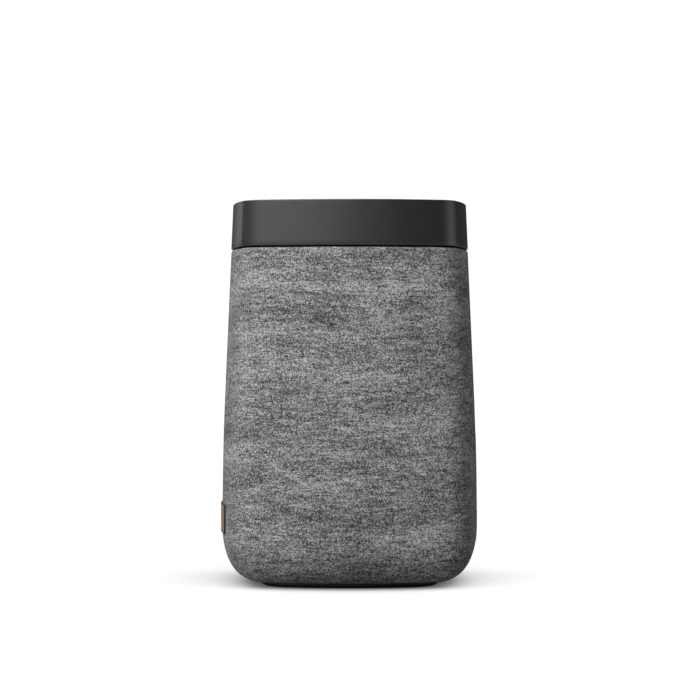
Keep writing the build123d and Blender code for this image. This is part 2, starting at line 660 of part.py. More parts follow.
def make_tweeter_surround():
    return front_frame(TWEETER_Z) * disc(13.35, 0, 0.4, 12.5)


# ================================================================ radiators: heights are from the seat
def make_radiator_frame(side):
    ring = disc(RADIATOR_RIM, 0, RADIATOR_FRAME, 36.0) + disc(RADIATOR_RIM, 0, 1.0, 32.0)
    hole = disc(DRIVER_SCREW["shank"] + LOOSE, 0, RADIATOR_FRAME)
    for n in range(4):
        ring -= Rot(0, 0, 45 + 90 * n) * Pos(RADIATOR_SCREW_AT, 0, 0) * hole
    return side_frame(side) * ring


def make_radiator_surround(side):
    return side_frame(side) * roll_surround(26.0, 27.5, 33.0, 35.6, 1.0)


def make_radiator_diaphragm(side):
    return side_frame(side) * (disc(27.2, -1.6, 1.0) + disc(18.0, -3.2, -1.6))


# ================================================================ rear panel
def rear_screw_heights():
    """Heights of the strip's two screws."""
    return [PORT_Z + side * (PORT_HEIGHT / 2 - 3.2) for side in (-1, 1)]


def peg(radius, z, y_low, y_high):
    """A cylinder along Y on the centre line of the back."""
    return Pos(0, 0, z) * Rot(-90, 0, 0) * disc(radius, y_low, y_high)


def make_rear_panel():
    panel = port_prism(0, PORT_BACK, FAR) & form(-PORT_PROUD, FABRIC_TOP)
    half_x, half_z = INLET_WIDTH / 2, INLET_HEIGHT / 2
    panel -= block((-half_x, half_x), (0, FAR), (INLET_Z - half_z, INLET_Z + half_z))
    slot_x = SLIDER_WIDTH / 2 + SLIDER_GAP
    slot_z = (SLIDER_LENGTH + SLIDER_TRAVEL) / 2 + SLIDER_GAP
    panel -= block((-slot_x, slot_x), (0, FAR), (SLIDER_Z - slot_z, SLIDER_Z + slot_z))
    panel -= block((-slot_x - 0.8, slot_x + 0.8), (POCKET_FLOOR, FAR),
                   (SLIDER_Z - slot_z - 0.8, SLIDER_Z + slot_z + 0.8))
    panel -= peg(PAIRING_RADIUS + SLIDER_GAP, PAIRING_Z, 0, FAR)
    for z in rear_screw_heights():
        panel -= peg(PANEL_SCREW["shank"] + LOOSE, z, 0, FAR)
        panel -= peg(PANEL_SCREW["head"] + LOOSE, z, POCKET_FLOOR, FAR)
    return panel


def make_mains_inlet():
    half_x, half_z = INLET_WIDTH / 2, INLET_HEIGHT / 2
    body = block((-half_x, half_x), (INLET_BACK, INLET_FRONT), (-half_z, half_z))
    lobes = Pos(0, -SOCKET_LOBE) * Circle(SOCKET_LOBE) + Pos(0, SOCKET_LOBE) * Circle(SOCKET_LOBE)
    eight = lobes + Rectangle(SOCKET_WAIST, 2 * SOCKET_LOBE)
    place = Plane(origin=(0, INLET_FRONT - SOCKET_DEPTH, 0), x_dir=(-1, 0, 0), z_dir=(0, 1, 0)).location
    body = Pos(0, 0, INLET_Z) * (body - place * extrude(eight, SOCKET_DEPTH + 1))
    for z in pin_heights():
        body -= peg(PIN_RADIUS, z, INLET_BACK, INLET_FRONT)
    return body


def pin_heights():
    return [INLET_Z - PIN_SPACING / 2, INLET_Z + PIN_SPACING / 2]


def make_inlet_pins():
    pins = []
    for z in pin_heights():
        pin = peg(PIN_RADIUS, z, INLET_BACK - 4, INLET_FRONT - 1.5)
        pins.append(chamfer(pin.edges().group_by(Axis.Y)[-1], 0.5))
    return group(pins)


def make_mute_slider():
    """The slider at its lower, unmuted end."""
    middle = SLIDER_Z - SLIDER_TRAVEL / 2
    half_x = SLIDER_WIDTH / 2
    knob = block((-half_x, half_x), (PORT_BACK - 1.2, POCKET_FLOOR + 1.3),
                 (middle - SLIDER_LENGTH / 2, middle + SLIDER_LENGTH / 2))
    carriage = block((-3, 3), (PORT_BACK - 1.3, PORT_BACK - 0.1), (middle - 3.8, middle + 3.8))
    return knob + carriage


def make_pairing_button():
    lip_back = PORT_BACK - 1.6
    head = peg(PAIRING_RADIUS, PAIRING_Z, lip_back, PAIRING_FRONT)
    head = chamfer(head.edges().group_by(Axis.Y)[-1], 0.3)
    return head + peg(PAIRING_RADIUS + PAIRING_LIP, PAIRING_Z, lip_back, PORT_BACK - FIT_GAP)


def make_io_board():
    half_x = PORT_WIDTH / 2
    return block((-half_x, half_x), (IO_BOARD_BACK, IO_BOARD_BACK + IO_BOARD_THICK), (48, SEAT_HIGH))


def make_io_switches():
    """The push switch behind the button and the slide switch behind the slider."""
    depth = (IO_BOARD_BACK + IO_BOARD_THICK, IO_SWITCH_FRONT)
    push = block((-3, 3), depth, (PAIRING_Z - 3, PAIRING_Z + 3))
    slide = block((-2.2, 2.2), depth, (SLIDER_Z - 5, SLIDER_Z + 5))
    return group([push, slide])


# ================================================================ boards
def main_board_posts():
    """Posts behind the main board, as x and z."""
    return [(x, z) for x in (-36.0, 36.0) for z in (MAIN_BOARD_LOW + 10, MAIN_BOARD_HIGH - 6)]


def power_board_posts():
    """Posts under the power board, as x and y."""
    return [(x, y) for x in (-31.0, 31.0) for y in (0.0, 21.5)]


def make_main_board():
    board = block((-MAIN_BOARD_HALF, MAIN_BOARD_HALF), (MAIN_BOARD_Y, MAIN_BOARD_Y + BOARD_THICK),
                  (MAIN_BOARD_LOW, MAIN_BOARD_HIGH))
    for x, z in main_board_posts():
        hole = disc(BOARD_SCREW["shank"] + LOOSE, 0, BOARD_THICK)
        board -= Pos(x, MAIN_BOARD_Y, z) * Rot(-90, 0, 0) * hole
    connector = block((-CONNECTOR_HALF, CONNECTOR_HALF), (CABLE_Y - 2, MAIN_BOARD_Y),
                      (MAIN_BOARD_HIGH - 6, MAIN_BOARD_HIGH - 1))
    chips = [block((x - 6, x + 6), (MAIN_BOARD_Y - 1.4, MAIN_BOARD_Y), (z - 6, z + 6))
             for x, z in ((-22, 122), (0, 126), (22, 122), (-24, 70), (24, 70))]
    return board + connector + chips


def make_heatsink():
    """A finned block on the amplifier chip."""
    height = (HEATSINK_LOW, HEATSINK_HIGH)
    base_front = MAIN_BOARD_Y - HEATSINK_BASE
    base = block((-HEATSINK_HALF, HEATSINK_HALF), (base_front, MAIN_BOARD_Y), height)
    fins = [block((x - 0.8, x + 0.8), (MAIN_BOARD_Y - HEATSINK_DEPTH, base_front), height)
            for x in range(-3 * FIN_PITCH, 4 * FIN_PITCH, FIN_PITCH)]
    return base + fins


def make_power_board():
    top = POWER_BOARD_BOTTOM + BOARD_THICK
    board = block((-35, 35), (-4, 34), (POWER_BOARD_BOTTOM, top))
    for x, y in power_board_posts():
        board -= Pos(x, y, 0) * disc(BOARD_SCREW["shank"] + LOOSE, POWER_BOARD_BOTTOM, top)
    return board


def make_power_components():
    """Transformer, reservoir capacitors and filter choke on the power board."""
    top = POWER_BOARD_BOTTOM + BOARD_THICK
    transformer = block((-12, 12), (6, 28), (top, top + 18))
    capacitors = [Pos(x, y, 0) * disc(5.0, top, top + 16) for x, y in ((20, 8), (20, 20))]
    choke = block((-26, -16), (8, 24), (top, top + 12))
    return group([transformer, choke] + capacitors)


def make_flat_cable():
    """The flexible flat cable from the main board up to the control board."""
    low = MAIN_BOARD_HIGH - 1
    high = CONTROL_BOARD_TOP - BOARD_THICK - CONNECTOR_HEIGHT
    return block((-CABLE_HALF, CABLE_HALF), (CABLE_Y, CABLE_Y + 0.3), (low, high))


# ================================================================ screws
def make_case_screws():
    """Screws of the cap, the base and the baffle."""
    floor_seat = BASE_TOP + 1.0
    places = [Pos(x, y, CAP_FLOOR_TOP) for x, y in corners(CAP_SCREW_X, CAP_SCREW_Y)]
    places += [Pos(x, y, floor_seat) * Rot(180, 0, 0) for x, y in corners(BASE_SCREW)]
    places += baffle_screw_places()
    return group([place * screw(**CASE_SCREW) for place in places])


def make_driver_screws():
    """Screws of the woofer, the tweeter and both radiators."""
    places = [place * Pos(0, 0, FLANGE_THICK) for place in woofer_screw_places()]
    places += [place * Pos(0, 0, TWEETER_FACE) for place in tweeter_screw_places()]
    for side in (-1, 1):
        places += [place * Pos(0, 0, RADIATOR_FRAME) for place in radiator_screw_places(side)]
    return group([place * screw(**DRIVER_SCREW) for place in places])


def make_board_screws():
    """Screws of the control board, the main board and the power board."""
    places = [Pos(x, y, CONTROL_BOARD_TOP) for x, y in corners(CONTROL_SCREW)]
    places += [Pos(x, MAIN_BOARD_Y, z) * Rot(90, 0, 0) for x, z in main_board_posts()]
    places += [Pos(x, y, POWER_BOARD_BOTTOM + BOARD_THICK) for x, y in power_board_posts()]
    return group([place * screw(**BOARD_SCREW) for place in places])


def make_rear_panel_screws():
    return group([Pos(0, POCKET_FLOOR, z) * Rot(-90, 0, 0) * screw(**PANEL_SCREW)
                  for z in rear_screw_heights()])


# ================================================================ all nodes
def make_nodes():
    nodes = {
        "fabric_sleeve": make_fabric_sleeve(),
        "grille_shell": make_grille_shell(),
        "leather_label": make_leather_label(),
        "cap_shell": make_cap_shell(),
        "top_panel": make_top_panel(),
        "status_light_lens": make_status_light_lens(),
        "status_leds": make_status_leds(),
        "control_board": make_control_board(),
        "button_mat": make_button_mat(),
        "microphones": make_microphones(),
        "microphone_seals": make_microphone_seals(),
        "foot_pad": make_foot_pad(),
        "base_plate": make_base_plate(),
        "front_baffle": make_front_baffle(),
        "rear_cabinet": make_rear_cabinet(),
        "enclosure_gasket": make_enclosure_gasket(),
        "woofer_basket": make_woofer_basket(),
        "woofer_magnet": make_woofer_magnet(),
        "woofer_top_plate": make_woofer_top_plate(),
        "woofer_yoke": make_woofer_yoke(),
        "woofer_voice_coil": make_woofer_voice_coil(),
        "woofer_cone": make_woofer_cone(),
        "woofer_dust_cap": make_woofer_dust_cap(),
        "woofer_surround": make_woofer_surround(),
        "woofer_spider": make_woofer_spider(),
        "tweeter_faceplate": make_tweeter_faceplate(),
        "tweeter_motor": make_tweeter_motor(),
        "tweeter_dome": make_tweeter_dome(),
        "tweeter_surround": make_tweeter_surround(),
        "rear_panel": make_rear_panel(),
        "mains_inlet": make_mains_inlet(),
        "inlet_pins": make_inlet_pins(),
        "mute_slider": make_mute_slider(),
        "pairing_button": make_pairing_button(),
        "io_board": make_io_board(),
        "io_switches": make_io_switches(),
        "main_board": make_main_board(),
        "heatsink": make_heatsink(),
        "power_board": make_power_board(),
        "power_components": make_power_components(),
        "flat_cable": make_flat_cable(),
        "case_screws": make_case_screws(),
        "driver_screws": make_driver_screws(),
        "board_screws": make_board_screws(),
        "rear_panel_screws": make_rear_panel_screws(),
        "play_button": button(play_sketch, 0),
    }
    for name, turn in ARC_BUTTONS.items():
        nodes[name] = Rot(0, 0, turn) * button(arc_sketch, arc_middle())
    for name, side in (("right", 1), ("left", -1)):
        nodes[name + "_radiator_frame"] = make_radiator_frame(side)
        nodes[name + "_radiator_surround"] = make_radiator_surround(side)
        nodes[name + "_radiator_diaphragm"] = make_radiator_diaphragm(side)
    return nodes


os.makedirs("parts", exist_ok=True)
for node_name, shape in make_nodes().items():
    export_step(shape, f"parts/{node_name}.step")
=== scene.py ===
import json
from math import atan2, cos, hypot, pi, radians, sin, sqrt

import bmesh
import bpy
import numpy as np
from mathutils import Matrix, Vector


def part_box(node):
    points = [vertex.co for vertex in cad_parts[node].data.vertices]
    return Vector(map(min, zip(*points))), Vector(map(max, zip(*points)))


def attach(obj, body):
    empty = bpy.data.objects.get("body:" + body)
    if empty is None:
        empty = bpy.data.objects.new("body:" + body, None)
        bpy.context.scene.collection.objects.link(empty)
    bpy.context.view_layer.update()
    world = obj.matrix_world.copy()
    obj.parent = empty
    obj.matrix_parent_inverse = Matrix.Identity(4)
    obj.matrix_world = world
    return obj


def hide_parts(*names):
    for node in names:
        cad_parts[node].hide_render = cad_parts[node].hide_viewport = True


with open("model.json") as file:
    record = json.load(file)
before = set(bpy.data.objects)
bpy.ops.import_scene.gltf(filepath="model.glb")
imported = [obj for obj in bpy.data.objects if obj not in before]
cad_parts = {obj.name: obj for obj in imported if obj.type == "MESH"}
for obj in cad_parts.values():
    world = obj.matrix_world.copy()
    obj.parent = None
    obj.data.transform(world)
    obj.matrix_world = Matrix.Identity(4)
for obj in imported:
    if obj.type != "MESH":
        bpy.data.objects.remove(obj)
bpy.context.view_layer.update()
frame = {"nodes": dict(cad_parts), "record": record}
MM = 0.001

# ---------------------------------------------------------------- sizes read from the frame
fabric_low, fabric_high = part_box("fabric_sleeve")
cap_low, cap_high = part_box("cap_shell")
label_low, label_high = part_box("leather_label")
port_low, port_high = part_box("rear_panel")

WIDEST = fabric_high.x             # half-width of the fabric at its widest level
TOP = cap_high.z                   # top of the cap
CAP_BOTTOM = cap_low.z
PANEL_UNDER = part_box("top_panel")[0].z   # the panel's underside, which rests on the cap's ledge
FABRIC_TOP = fabric_high.z
FABRIC_LOW = fabric_low.z
BASE_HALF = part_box("base_plate")[1].x    # half-width of the foot

# ---------------------------------------------------------------- the outer form, as in the design
SIDE_CENTRE = 87.1 * MM            # centre of each side's bow, across the middle
CORNER_LESS = 45.8 * MM            # a level's half-width less its corner radius
TAPER = 0.044                      # how much the half-width shrinks per metre of height
TAPER_FROM = 100 * MM              # the full taper starts here
UPRIGHT_AT = 32 * MM               # the sides stand upright below this
HEEL_TOP = 27.5 * MM               # the rounded heel turns in below this
HEEL_DROP = HEEL_TOP - FABRIC_LOW
HEEL_INSET = 13 * MM               # how far it turns in
SIDE_STEPS = 44                    # mesh steps along each side
CORNER_STEPS = 18                  # and round each corner


def half_width_at(z):
    """Half-width of the outer form above the heel."""
    at_taper = WIDEST - TAPER * (TAPER_FROM - UPRIGHT_AT) / 2
    if z >= TAPER_FROM:
        return at_taper - TAPER * (z - TAPER_FROM)
    if z <= UPRIGHT_AT:
        return WIDEST
    return WIDEST - TAPER * (z - UPRIGHT_AT) ** 2 / (2 * (TAPER_FROM - UPRIGHT_AT))


def outline(half, corner=None):
    """Points of a level outline of four bowed sides and four round corners, from the front's middle."""
    corner = half - CORNER_LESS if corner is None else corner
    bow = SIDE_CENTRE + half
    reach = bow - corner
    corner_at = (sqrt(2 * reach**2 - SIDE_CENTRE**2) - SIDE_CENTRE) / 2
    turn = atan2(corner_at, corner_at + SIDE_CENTRE)
    points = []
    for quarter in range(4):
        spin = quarter * pi / 2
        local = []
        for n in range(SIDE_STEPS):
            angle = turn * (2 * n / SIDE_STEPS - 1)
            local.append((bow * sin(angle), SIDE_CENTRE - bow * cos(angle)))
        for n in range(CORNER_STEPS):
            angle = turn + (pi / 2 - 2 * turn) * n / CORNER_STEPS
            local.append((corner_at + corner * sin(angle), -corner_at - corner * cos(angle)))
        points += [(x * cos(spin) - y * sin(spin), x * sin(spin) + y * cos(spin)) for x, y in local]
    return points


def ring_lengths():
    """Length along the widest outline at each of its points, for laying a weave on the body."""
    points = outline(WIDEST)
    lengths = [0.0]
    for (x0, y0), (x1, y1) in zip(points, points[1:] + points[:1]):
        lengths.append(lengths[-1] + hypot(x1 - x0, y1 - y0))
    return lengths


# ---------------------------------------------------------------- meshes
def new_object(name, vertices, faces, smooth=True):
    mesh = bpy.data.meshes.new(name)
    mesh.from_pydata(vertices, [], faces)
    mesh.validate()
    piece = bpy.data.objects.new(name, mesh)
    bpy.context.scene.collection.objects.link(piece)
    if smooth:
        mesh.shade_smooth()
    return piece


def lofted(name, rings, close=False):
    """A skin through level rings of (half, z, corner). The ends are filled, or joined where close is set."""
    vertices, faces = [], []
    loops = [[(x, y, z) for x, y in outline(half, corner)] for half, z, corner in rings]
    around = len(loops[0])
    for loop in loops:
        vertices += loop
    pairs = list(zip(range(len(loops)), range(1, len(loops))))
    if close:
        pairs.append((len(loops) - 1, 0))
    for low, high in pairs:
        for n in range(around):
            after = (n + 1) % around
            faces.append((low * around + n, low * around + after, high * around + after, high * around + n))
    if not close:
        faces.append(tuple(reversed(range(around))))
        faces.append(tuple((len(loops) - 1) * around + n for n in range(around)))
    piece = new_object(name, vertices, faces)
    outward_normals(piece)
    return piece


def outward_normals(piece):
    work = bmesh.new()
    work.from_mesh(piece.data)
    bmesh.ops.recalc_face_normals(work, faces=work.faces)
    work.to_mesh(piece.data)
    work.free()


def arc_points(centre, radius_x, radius_z, start, end, steps):
    """Points (half, z) of an elliptic arc, angles in degrees from outward towards up."""
    found = []
    for n in range(steps + 1):
        angle = radians(start + (end - start) * n / steps)
        found.append((centre[0] + radius_x * cos(angle), centre[1] + radius_z * sin(angle)))
    return found


def cut_away(piece, cutter):
    """Cuts one closed mesh out of another and removes the cutter."""
    boolean = piece.modifiers.new("cut", "BOOLEAN")
    boolean.object = cutter
    boolean.operation = "DIFFERENCE"
    boolean.solver = "EXACT"
    graph = bpy.context.evaluated_depsgraph_get()
    result = bpy.data.meshes.new_from_object(piece.evaluated_get(graph))
    piece.modifiers.clear()
    piece.data = result
    bpy.data.objects.remove(cutter)


def rounded_rectangle(width, height, corner, steps=8, along=1):
    """Points of a rounded rectangle centred on the origin, its long sides in a number of steps."""
    points = []
    for quarter, (sx, sy) in enumerate(((1, 1), (-1, 1), (-1, -1), (1, -1))):
        for n in range(steps + 1):
            angle = (quarter + n / steps) * pi / 2
            points.append((sx * (width / 2 - corner) + corner * cos(angle),
                           sy * (height / 2 - corner) + corner * sin(angle)))
        if quarter % 2 == 0:
            last_x, last_y = points[-1]
            for n in range(1, along):
                points.append((last_x * (1 - 2 * n / along), last_y))
    return points


# ---------------------------------------------------------------- materials
class Nodes:
    """A material's node tree, with short calls for what the materials below need."""

    def __init__(self, name, **shader):
        self.material = bpy.data.materials.new(name)
        self.material.use_nodes = True
        self.tree = self.material.node_tree
        self.shader = self.tree.nodes["Principled BSDF"]
        for key, value in shader.items():
            self.shader.inputs[key.replace("_", " ")].default_value = value

    def add(self, kind, inputs=None, **settings):
        node = self.tree.nodes.new(kind)
        for key, value in settings.items():
            setattr(node, key, value)
        for key, value in (inputs or {}).items():
            self.put(node.inputs[key], value)
        return node

    def put(self, socket, value):
        if isinstance(value, bpy.types.NodeSocket):
            self.tree.links.new(value, socket)
        else:
            socket.default_value = value

    def math(self, operation, first, second=0.0, third=0.0):
        node = self.add("ShaderNodeMath", {0: first, 1: second, 2: third}, operation=operation)
        return node.outputs[0]

    def scaled(self, vector, factors):
        return self.add("ShaderNodeVectorMath", {0: vector, 1: factors}, operation="MULTIPLY").outputs[0]

    def noise(self, vector, scale, detail, roughness=0.5, dimensions="3D"):
        inputs = {"Vector": vector, "Scale": scale, "Detail": detail, "Roughness": roughness}
        return self.add("ShaderNodeTexNoise", inputs, noise_dimensions=dimensions).outputs["Fac"]

    def position(self):
        return self.add("ShaderNodeTexCoord").outputs["Object"]

    def ramp(self, factor, *stops):
        """A colour ramp from (place, colour) stops."""
        node = self.add("ShaderNodeValToRGB", {"Fac": factor})
        elements = node.color_ramp.elements
        while len(elements) < len(stops):
            elements.new(0.5)
        for element, (place, colour) in zip(elements, stops):
            element.position = place
            element.color = (*colour, 1.0)
        return node.outputs["Color"]

    def bump(self, height, distance, strength):
        node = self.add("ShaderNodeBump", {"Height": height, "Distance": distance, "Strength": strength})
        self.put(self.shader.inputs["Normal"], node.outputs["Normal"])

    def spread(self, value, low, high):
        """A 0 to 1 value spread over a range."""
        return self.math("MULTIPLY_ADD", value, high - low, low)


# how much each scale of the melange counts in its tone: single stitches, lengths of yarn, streaks
# of like yarns, broad patches, and fibres finer than a stitch
SPECKLE = 0.85
YARN = 0.75
STREAK = 0.50
PATCH = 0.58
FIBRE = 0.20

# the knit in millimetres, and its noises in cycles per millimetre along the course and down the wale
COURSE = 0.47                      # height of a row of stitches
WALE = 0.54                        # width of a stitch
ROW_WANDER = 1.0                   # how far the rows stray up and down
WANDER_SCALE = (0.04, 0.15, 0)
YARN_LENGTH = 7.0                  # length over which a yarn keeps its tone
ROW_STEP = 7.31                    # noise distance from one row to the next, so that rows differ
STREAK_SCALE = (0.06, 0.45, 0)
PATCH_SCALE = (0.022, 0.07, 0)
FIBRE_SCALE = (5.0, 9.0, 0)
MELANGE = ((0.0, 0.030), (0.3, 0.075), (0.5, 0.135), (0.7, 0.21), (1.0, 0.36))    # (tone, grey)


def grey(value):
    return (value, value, value)


def fabric_material():
    """Melange knit: fine rows of stitches whose yarns drift between charcoal and pale grey."""
    nodes = Nodes("melange_fabric", Roughness=0.95, Specular_IOR_Level=0.08)
    weave = nodes.add("ShaderNodeAttribute", attribute_name="weave").outputs["Vector"]
    across = nodes.add("ShaderNodeSeparateXYZ", {0: weave})

    def drift(scale, detail):
        return nodes.noise(nodes.scaled(weave, scale), 1.0, detail, dimensions="2D")

    u = across.outputs[0]
    stray = nodes.spread(drift(WANDER_SCALE, 2.0), -ROW_WANDER, ROW_WANDER)
    v = nodes.math("ADD", across.outputs[1], stray)
    row = nodes.math("FLOOR", nodes.math("DIVIDE", v, COURSE))
    shift = nodes.math("MULTIPLY", nodes.math("FLOORED_MODULO", row, 2.0), WALE / 2)
    along = nodes.math("DIVIDE", nodes.math("ADD", u, shift), WALE)
    stitch = nodes.add("ShaderNodeCombineXYZ", {0: nodes.math("FLOOR", along), 1: row, 2: 0.0})
    speckle = nodes.add("ShaderNodeTexWhiteNoise", {"Vector": stitch.outputs[0]}).outputs["Value"]
    yarn_place = nodes.add("ShaderNodeCombineXYZ", {0: nodes.math("DIVIDE", u, YARN_LENGTH),
                                                    1: nodes.math("MULTIPLY", row, ROW_STEP), 2: 0.0})
    yarn = nodes.noise(yarn_place.outputs[0], 1.0, 1.0, dimensions="2D")
    fibre = drift(FIBRE_SCALE, 1.0)
    tone = nodes.math("MULTIPLY", speckle, SPECKLE)
    tone = nodes.math("MULTIPLY_ADD", yarn, YARN, tone)
    tone = nodes.math("MULTIPLY_ADD", drift(STREAK_SCALE, 2.0), STREAK, tone)
    tone = nodes.math("MULTIPLY_ADD", drift(PATCH_SCALE, 2.0), PATCH, tone)
    tone = nodes.math("MULTIPLY_ADD", fibre, FIBRE, tone)
    middle = (SPECKLE + YARN + STREAK + PATCH + FIBRE) / 2
    centred = nodes.math("SUBTRACT", tone, middle - 0.5)
    colour = nodes.ramp(centred, *[(place, grey(value)) for place, value in MELANGE])
    nodes.put(nodes.shader.inputs["Base Color"], colour)
    wave_u = nodes.math("ABSOLUTE", nodes.math("SINE", nodes.math("MULTIPLY", along, pi)))
    wave_v = nodes.math("ABSOLUTE", nodes.math("SINE", nodes.math("MULTIPLY", v, pi / COURSE)))
    relief = nodes.math("MULTIPLY", wave_u, wave_v)
    relief = nodes.math("MULTIPLY_ADD", fibre, 0.5, relief)
    nodes.bump(relief, 0.10 * MM, 0.6)
    return nodes.material


def plastic_material(name, colour, roughness, texture=0.012, variation=0.03):
    """Moulded plastic with a fine spark-eroded texture and slightly uneven gloss."""
    nodes = Nodes(name, Specular_IOR_Level=0.5)
    place = nodes.position()
    fine = nodes.noise(place, 9000.0, 2.0)
    cloudy = nodes.noise(place, 60.0, 3.0)
    shade = nodes.ramp(cloudy, (0.3, [c * 0.94 for c in colour]), (0.7, [c * 1.06 for c in colour]))
    gloss = nodes.spread(cloudy, roughness - variation, roughness + variation)
    nodes.put(nodes.shader.inputs["Base Color"], shade)
    nodes.put(nodes.shader.inputs["Roughness"], gloss)
    nodes.bump(fine, texture * MM, 0.5)
    return nodes.material


def leather_material():
    """Smooth vegetable-tanned leather with pores and fine creases."""
    nodes = Nodes("label_leather", Specular_IOR_Level=0.12)
    place = nodes.position()
    pores = nodes.add("ShaderNodeTexVoronoi", {"Vector": place, "Scale": 1500.0}).outputs["Distance"]
    cloud = nodes.noise(place, 160.0, 4.0, 0.6)
    grain = nodes.math("MULTIPLY_ADD", pores, 0.35, nodes.math("MULTIPLY", cloud, 0.65))
    colour = nodes.ramp(grain, (0.2, (0.125, 0.058, 0.021)), (0.5, (0.20, 0.097, 0.036)),
                        (0.8, (0.27, 0.138, 0.055)))
    nodes.put(nodes.shader.inputs["Base Color"], colour)
    nodes.put(nodes.shader.inputs["Roughness"], nodes.spread(cloud, 0.42, 0.62))
    nodes.bump(grain, 0.06 * MM, 0.7)
    return nodes.material


def rubber_material(name, colour, roughness=0.75):
    """Rubber, foam and other dull stuff, with dust in its grain."""
    nodes = Nodes(name, Specular_IOR_Level=0.3)
    place = nodes.position()
    dust = nodes.noise(place, 400.0, 4.0, 0.65)
    nodes.put(nodes.shader.inputs["Base Color"],
              nodes.ramp(dust, (0.35, colour), (0.75, [c * 1.5 + 0.004 for c in colour])))
    nodes.put(nodes.shader.inputs["Roughness"], nodes.spread(dust, roughness - 0.1, roughness + 0.1))
    nodes.bump(nodes.noise(place, 5000.0, 2.0), 0.02 * MM, 0.6)
    return nodes.material


def metal_material(name, colour, roughness, brushed=(1.0, 1.0, 1.0)):
    """Metal with brushing or casting grain; brushed crowds the grain along an axis."""
    nodes = Nodes(name, Metallic=1.0)
    place = nodes.scaled(nodes.position(), brushed)
    grain = nodes.noise(place, 1200.0, 3.0, 0.6)
    nodes.put(nodes.shader.inputs["Base Color"],
              nodes.ramp(grain, (0.3, [c * 0.85 for c in colour]), (0.7, colour)))
    nodes.put(nodes.shader.inputs["Roughness"], nodes.spread(grain, roughness - 0.08, roughness + 0.12))
    nodes.bump(grain, 0.01 * MM, 0.5)
    return nodes.material


def woven_material(name, dark, light, pitch):
    """A fine plain weave for small technical cloths and papers."""
    nodes = Nodes(name, Roughness=0.85, Specular_IOR_Level=0.3)
    place = nodes.position()
    check = nodes.add("ShaderNodeTexWave", {"Vector": place, "Scale": 1 / (20 * pitch), "Distortion": 2.0})
    fleck = nodes.noise(place, 1 / pitch, 3.0)
    mixed = nodes.math("MULTIPLY_ADD", check.outputs["Fac"], 0.4, nodes.math("MULTIPLY", fleck, 0.6))
    nodes.put(nodes.shader.inputs["Base Color"], nodes.ramp(mixed, (0.2, dark), (0.8, light)))
    nodes.bump(mixed, 0.05 * MM, 0.6)
    return nodes.material


def lens_material():
    """The milky strip over the status lights."""
    nodes = Nodes("milky_lens", Roughness=0.25, Transmission_Weight=0.35, Subsurface_Weight=0.2)
    haze = nodes.noise(nodes.position(), 300.0, 2.0)
    colour = nodes.ramp(haze, (0.3, (0.62, 0.63, 0.65)), (0.7, (0.75, 0.76, 0.78)))
    nodes.put(nodes.shader.inputs["Base Color"], colour)
    return nodes.material


PAINTED_FLOOR_GLOW = 1.345             # strength of the floor's painted glow where nothing hides the sky, if it had no limit
FLOOR_WHITE = 1.02                 # that limit
PAINTED_SHADOW_LEAN = (0.28, 0.0, 1.0)        # the painted shadow is worked out as if the floor's light came from above and a little from the +X side
PAINTED_SHADOW_REACH = 0.6                  # how far off the speaker still casts the painted shadow, in metres


def floor_material():
    """A white sweep that the camera sees as a glow, with a painted shadow where the speaker hides the sky; it
    throws little light back.
    """
    nodes = Nodes("pale_floor", Specular_IOR_Level=0.1, Roughness=0.95)
    grain = nodes.noise(nodes.position(), 40.0, 3.0)
    nodes.put(nodes.shader.inputs["Base Color"], nodes.ramp(grain, (0.3, grey(0.21)), (0.7, grey(0.23))))
    lean = Vector(PAINTED_SHADOW_LEAN).normalized()
    painted_shadow_normal = nodes.add("ShaderNodeCombineXYZ", {0: lean.x, 1: lean.y, 2: lean.z}).outputs[0]
    painted_shadow_settings = {"Distance": PAINTED_SHADOW_REACH, "Normal": painted_shadow_normal}
    # painted shadow: the speaker's ambient occlusion of the sky darkens the glow
    painted_shadow_ao = nodes.add("ShaderNodeAmbientOcclusion", painted_shadow_settings, samples=16).outputs["AO"]
    shade = nodes.math("MINIMUM", nodes.math("MULTIPLY", painted_shadow_ao, PAINTED_FLOOR_GLOW), FLOOR_WHITE)
    # camera rays see this glow, which paints the floor's light and shade; other rays see the dark grey shader
    seen = nodes.add("ShaderNodeEmission", {"Color": (1, 1, 1, 1), "Strength": shade})
    camera_ray = nodes.add("ShaderNodeLightPath").outputs["Is Camera Ray"]
    mix = nodes.add("ShaderNodeMixShader", {0: camera_ray, 1: nodes.shader.outputs[0], 2: seen.outputs[0]})
    nodes.put(nodes.tree.nodes["Material Output"].inputs["Surface"], mix.outputs[0])
    return nodes.material


